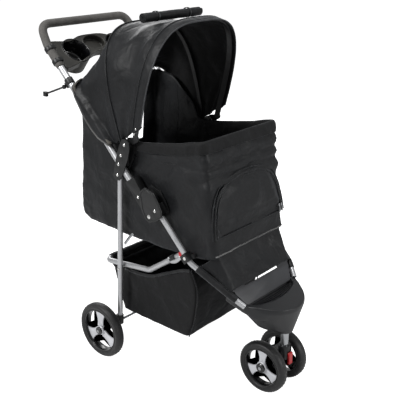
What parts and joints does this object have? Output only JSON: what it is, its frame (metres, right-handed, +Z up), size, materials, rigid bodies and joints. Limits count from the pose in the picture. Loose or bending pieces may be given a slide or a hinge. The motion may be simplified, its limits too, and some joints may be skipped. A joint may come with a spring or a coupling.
{
  "type": "pet stroller",
  "caption": "Folding three-wheel pet stroller: tube frame with fold locks, fabric cabin with front door and hood, basket, nose tray, parent tray and a swivel front caster.",
  "frame": {"origin": "on the ground, in the middle of the stroller's length and width", "axes": "+Z up; front towards -Y; +X to the left of the person who pushes it"},
  "size_m": [0.46, 0.8189, 1.0099],
  "materials": {
    "tube_silver": "satin",
    "rivet_steel": "polished",
    "bow_steel": "satin",
    "axle_steel": "satin",
    "black_plastic": "satin",
    "gloss_black": "gloss",
    "grey_plastic": "satin",
    "silver_plastic": "satin",
    "white_plastic": "satin",
    "red_plastic": "satin",
    "foam": "matte",
    "tyre": "matte",
    "fabric": "matte"
  },
  "bodies": {
    "upper_frame": {"handle_tube": "tube_silver", "foam_grip": "foam", "parent_tray": "grey_plastic", "tray_clamps": "black_plastic", "side_bracket_left": "black_plastic", "side_bracket_right": "black_plastic", "bracket_rivets": "rivet_steel", "upper_lock_left": "black_plastic", "upper_lock_right": "black_plastic", "hook_clip": "black_plastic", "hood_fabric": "fabric"},
    "front_frame": {"front_strut_left": "tube_silver", "front_strut_right": "tube_silver", "lower_lock_left": "black_plastic", "lower_lock_right": "black_plastic", "lock_rivets": "rivet_steel", "strut_blocks": "black_plastic", "strut_caps": "white_plastic", "floor_frame": "tube_silver", "floor_cushion": "fabric", "cabin_body": "fabric", "nose_tray": "grey_plastic", "foot_panel": "fabric", "fork_stem": "axle_steel"},
    "latch_left": {"lock_latch_left": "black_plastic"},
    "latch_right": {"lock_latch_right": "black_plastic"},
    "door": {"front_door": "fabric", "door_zip_pulls": "axle_steel"},
    "canopy_front": {"front_bow": "bow_steel", "rolled_flap": "fabric"},
    "canopy_middle": {"mid_bow": "bow_steel"},
    "rear_frame": {"rear_leg_left": "tube_silver", "rear_leg_right": "tube_silver", "axle_mounts": "black_plastic", "rear_axle": "axle_steel", "leg_pins": "rivet_steel"},
    "brake_left": {"brake_pedal_left": "black_plastic"},
    "brake_right": {"brake_pedal_right": "black_plastic"},
    "rear_wheel_left": {"rear_tyre_left": "tyre", "rear_rim_left": "gloss_black", "rear_cover_left": "silver_plastic"},
    "rear_wheel_right": {"rear_tyre_right": "tyre", "rear_rim_right": "gloss_black", "rear_cover_right": "silver_plastic"},
    "basket_frame": {"basket_tube": "tube_silver", "basket_clips": "black_plastic", "basket_body": "fabric", "basket_sleeve": "fabric", "link_caps": "red_plastic"},
    "caster": {"caster_housing": "black_plastic", "front_axle": "axle_steel"},
    "swivel_lock_lever": {"swivel_lock": "red_plastic"},
    "front_wheel_left": {"front_tyre_left": "tyre", "front_rim_left": "gloss_black", "front_cover_left": "silver_plastic"},
    "front_wheel_right": {"front_tyre_right": "tyre", "front_rim_right": "gloss_black", "front_cover_right": "silver_plastic"},
    "hook": {"hook_arm": "black_plastic"}
  },
  "joints": [
    {"name": "fold", "type": "hinge", "parent": "upper_frame", "child": "front_frame", "pos_m": [0, -0.03712, 0.488], "axis": [1, 0, 0], "range_deg": [0, 115], "deforming": ["cabin_body", "hood_fabric", "basket_body"]},
    {"name": "rear_leg_fold", "type": "hinge", "parent": "upper_frame", "child": "rear_frame", "pos_m": [0, 0.08258, 0.58104], "axis": [1, 0, 0], "range_deg": [0, 64.9]},
    {"name": "basket_fold", "type": "hinge", "parent": "rear_frame", "child": "basket_frame", "pos_m": [0, 0.10067, 0.28759], "axis": [1, 0, 0], "range_deg": [-33.3, 0]},
    {"name": "latch_left", "type": "slide", "parent": "front_frame", "child": "latch_left", "axis": [0, -0.7218, 0.6921], "range_m": [0, 0.006], "stiffness_N_per_m": 300},
    {"name": "latch_right", "type": "slide", "parent": "front_frame", "child": "latch_right", "axis": [0, -0.7218, 0.6921], "range_m": [0, 0.006], "stiffness_N_per_m": 300},
    {"name": "front_door", "type": "hinge", "parent": "front_frame", "child": "door", "pos_m": [0, -0.23645, 0.45273], "axis": [1, 0, 0], "range_deg": [0, 110]},
    {"name": "canopy", "type": "hinge", "parent": "upper_frame", "child": "canopy_front", "pos_m": [0, 0.05096, 0.67232], "axis": [-1, 0, 0], "range_deg": [0, 44], "deforming": ["hood_fabric"]},
    {"name": "canopy_middle", "type": "hinge", "parent": "upper_frame", "child": "canopy_middle", "pos_m": [0, 0.05096, 0.67232], "axis": [-1, 0, 0], "range_deg": [0, 18]},
    {"name": "rear_wheel_left", "type": "hinge", "parent": "rear_frame", "child": "rear_wheel_left", "pos_m": [0.2125, 0.14888, 0.085], "axis": [1, 0, 0], "continuous": true},
    {"name": "rear_wheel_right", "type": "hinge", "parent": "rear_frame", "child": "rear_wheel_right", "pos_m": [-0.2125, 0.14888, 0.085], "axis": [1, 0, 0], "continuous": true},
    {"name": "brake_left", "type": "hinge", "parent": "rear_frame", "child": "brake_left", "pos_m": [0.185, 0.14888, 0.085], "axis": [-1, 0, 0], "range_deg": [0, 14]},
    {"name": "brake_right", "type": "hinge", "parent": "rear_frame", "child": "brake_right", "pos_m": [-0.185, 0.14888, 0.085], "axis": [-1, 0, 0], "range_deg": [0, 14]},
    {"name": "caster_swivel", "type": "hinge", "parent": "front_frame", "child": "caster", "pos_m": [0, -0.36612, 0.12], "axis": [0, 0, 1], "continuous": true},
    {"name": "front_wheel_left", "type": "hinge", "parent": "caster", "child": "front_wheel_left", "pos_m": [0.0475, -0.33013, 0.075], "axis": [1, 0, 0], "continuous": true},
    {"name": "front_wheel_right", "type": "hinge", "parent": "caster", "child": "front_wheel_right", "pos_m": [-0.0475, -0.33013, 0.075], "axis": [1, 0, 0], "continuous": true},
    {"name": "swivel_lock_lever", "type": "slide", "parent": "caster", "child": "swivel_lock_lever", "axis": [0, 0, -1], "range_m": [0, 0.008]},
    {"name": "hook_arm", "type": "hinge", "parent": "upper_frame", "child": "hook", "pos_m": [-0.18, 0.29269, 0.79797], "axis": [1, 0, 0], "range_deg": [0, 40]}
  ],
  "couplings": [
    {"joint": "rear_leg_fold", "follows": "fold", "ratio": 0.56},
    {"joint": "basket_fold", "follows": "fold", "ratio": -0.2852},
    {"joint": "canopy_middle", "follows": "canopy", "ratio": 0.4}
  ]
}
